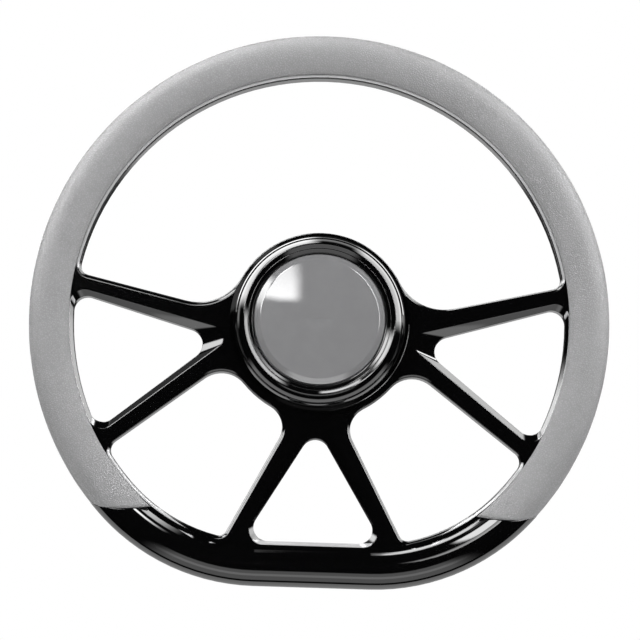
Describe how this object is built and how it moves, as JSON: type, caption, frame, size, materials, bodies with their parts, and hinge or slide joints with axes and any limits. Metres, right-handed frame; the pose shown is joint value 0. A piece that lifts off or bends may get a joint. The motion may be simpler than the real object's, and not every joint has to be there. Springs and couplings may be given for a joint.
{
  "type": "boat steering wheel",
  "caption": "D-shaped boat steering wheel: black milled aluminium frame, V-paired spokes, grey leather grip and a press button for the horn in its hub.",
  "frame": {"origin": "on the shaft's axis, at the helm end of the hub adapter", "axes": "-Y towards the driver, +Y to the helm along the shaft, +Z twelve o'clock, +X the driver's right"},
  "size_m": [0.3556, 0.0686, 0.34],
  "materials": {
    "gloss_black": "gloss black anodised",
    "grey_leather": "fine pebble grain, low sheen",
    "grey_button": "grey, glossy clear coat",
    "bare_aluminium": "turned",
    "steel": "plain stainless",
    "contact_brass": "turned",
    "white_nylon": "moulded"
  },
  "bodies": {
    "wheel": {"wheel_frame": "gloss_black", "grip_wrap": "grey_leather", "horn_ring": "gloss_black", "retainer_ring": "gloss_black", "hub_adapter": "bare_aluminium", "hub_screws": "steel", "button_spring_top": "steel", "button_spring_left": "steel", "button_spring_right": "steel", "contact_stud": "contact_brass", "stud_insulator": "white_nylon", "insulating_washer": "white_nylon", "terminal_tab": "contact_brass", "lock_washer": "steel", "stud_nut": "contact_brass"},
    "horn_button": {"button_cap": "grey_button", "contact_plate": "contact_brass", "plate_screws": "steel"}
  },
  "joints": [
    {"name": "button_press", "type": "slide", "parent": "wheel", "child": "horn_button", "axis": [0, 1, 0], "range_m": [0, 0.0025], "stiffness_N_per_m": 3000, "springref_m": -0.002, "deforming": ["button_spring_top", "button_spring_left", "button_spring_right"]}
  ]
}
